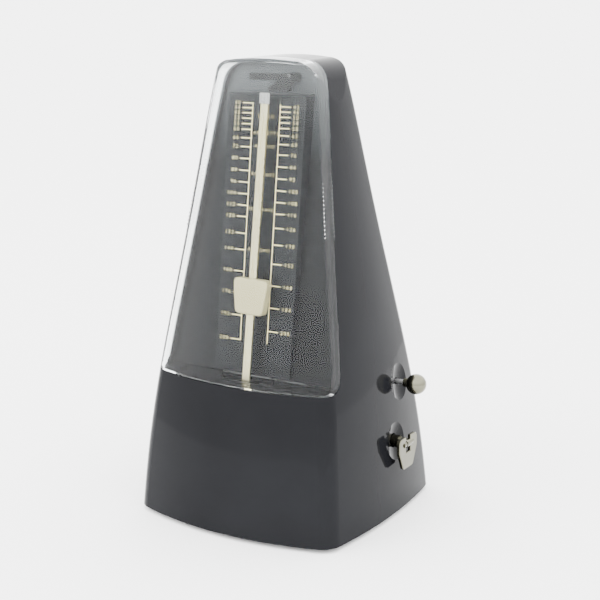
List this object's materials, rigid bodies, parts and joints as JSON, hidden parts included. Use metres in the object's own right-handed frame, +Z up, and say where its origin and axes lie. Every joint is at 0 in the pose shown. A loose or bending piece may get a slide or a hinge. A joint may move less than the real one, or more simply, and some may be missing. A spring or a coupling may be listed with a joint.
{
  "type": "mechanical metronome",
  "caption": "Pyramid-shaped clockwork metronome with a clear front cover, tempo scale, pendulum with sliding weight, winding key and bell pull.",
  "frame": {"origin": "middle of the whole outline seen from above, on the plane that the rubber feet stand on", "axes": "+Z up, -Y towards the front with the scale, +X towards the side with the winding key and the bell pull"},
  "size_m": [0.1266, 0.1138, 0.22],
  "materials": {
    "case": "high-gloss moulded black plastic",
    "cover": "clear moulded styrene, polished outside",
    "base": "matt black moulded plastic",
    "feet": "soft black rubber",
    "steel": "bright zinc-plated steel",
    "scale": "satin black plate with pale gold printing",
    "catch": "smooth dark plastic",
    "rod": "satin steel strip",
    "tip": "polished",
    "lead": "grey cast metal",
    "weight": "pale cream plastic",
    "brass": "lightly polished brass",
    "springsteel": "blued spring steel",
    "nickel": "nickel plated",
    "bellmetal": "nickel-plated bell"
  },
  "bodies": {
    "case": {"case_shell": "case", "base_plate": "base", "rubber_feet": "feet", "base_screws": "steel", "scale_plate": "scale", "scale_screws": "steel", "rod_catch": "catch", "catch_screw": "steel", "left_plate": "steel", "right_plate": "steel", "pillars": "steel", "pillar_screws": "steel", "escape_bridge": "brass", "frame_lugs": "steel", "lug_screws": "steel", "front_cock": "steel", "rear_cock": "steel", "cock_screws": "steel", "mainspring": "springsteel", "spring_anchor": "steel", "bell_bridge": "steel", "bell_post": "steel", "bell": "bellmetal", "bell_nut": "steel", "pull_detent": "springsteel"},
    "cover": {"front_cover": "cover"},
    "pendulum": {"pendulum_rod": "rod", "rod_hub": "brass", "rod_tip": "tip", "lower_bob": "lead", "bob_rivets": "steel", "verge_arbor": "steel", "pallets": "steel"},
    "weight": {"sliding_weight": "weight", "weight_spring": "springsteel"},
    "winder": {"winding_arbor": "steel", "ratchet_wheel": "steel", "key_stem": "nickel", "key_pin": "steel"},
    "wing": {"key_wing": "nickel"},
    "great_wheel_body": {"great_wheel": "brass"},
    "click_body": {"click": "steel"},
    "middle_train": {"middle_arbor": "steel", "middle_wheel": "brass", "beat_cams": "brass"},
    "escape_train": {"escape_arbor": "steel", "crown_wheel": "brass"},
    "bell_pull": {"pull_rod": "steel", "pull_knob": "nickel", "hammer_collars": "brass"},
    "hammer_body": {"hammer": "brass"}
  },
  "joints": [
    {"name": "cover_lift_off", "type": "slide", "parent": "case", "child": "cover", "axis": [0, -1, 0], "range_m": [0, 0.09]},
    {"name": "pendulum_swing", "type": "hinge", "parent": "case", "child": "pendulum", "pos_m": [-0.00352, -0.03494, 0.05], "axis": [0, 0.9908, -0.1351], "range_deg": [-6, 3]},
    {"name": "weight_slide", "type": "slide", "parent": "pendulum", "child": "weight", "axis": [0.0157, 0.1351, 0.9907], "range_m": [-0.022, 0.072]},
    {"name": "winding_key", "type": "hinge", "parent": "case", "child": "winder", "pos_m": [0.02648, 0.01294, 0.0365], "axis": [1, 0, 0], "continuous": true},
    {"name": "key_wing_fold", "type": "hinge", "parent": "winder", "child": "wing", "pos_m": [0.05894, 0.01294, 0.0365], "axis": [0, -1, 0], "range_deg": [0, 90]},
    {"name": "great_wheel_spin", "type": "hinge", "parent": "case", "child": "great_wheel_body", "pos_m": [-0.01202, 0.01294, 0.0365], "axis": [1, 0, 0], "continuous": true},
    {"name": "click_pivot", "type": "hinge", "parent": "great_wheel_body", "child": "click_body", "pos_m": [-0.01412, 0.01944, 0.04776], "axis": [1, 0, 0], "range_deg": [0, 14], "stiffness_Nm_per_rad": 0.00002},
    {"name": "middle_spin", "type": "hinge", "parent": "case", "child": "middle_train", "pos_m": [-0.00352, 0.00214, 0.05451], "axis": [1, 0, 0], "continuous": true},
    {"name": "escape_spin", "type": "hinge", "parent": "case", "child": "escape_train", "pos_m": [0.01148, -0.01067, 0.04669], "axis": [1, 0, 0], "continuous": true},
    {"name": "bell_pull_slide", "type": "slide", "parent": "case", "child": "bell_pull", "axis": [1, 0, 0], "range_m": [0, 0.006]},
    {"name": "hammer_pivot", "type": "hinge", "parent": "bell_pull", "child": "hammer_body", "pos_m": [-0.00942, 0.02344, 0.0632], "axis": [-1, 0, 0], "range_deg": [0, 12], "stiffness_Nm_per_rad": 0.002}
  ],
  "couplings": [
    {"joint": "middle_spin", "follows": "great_wheel_spin", "ratio": -6},
    {"joint": "escape_spin", "follows": "great_wheel_spin", "ratio": 31.5}
  ]
}
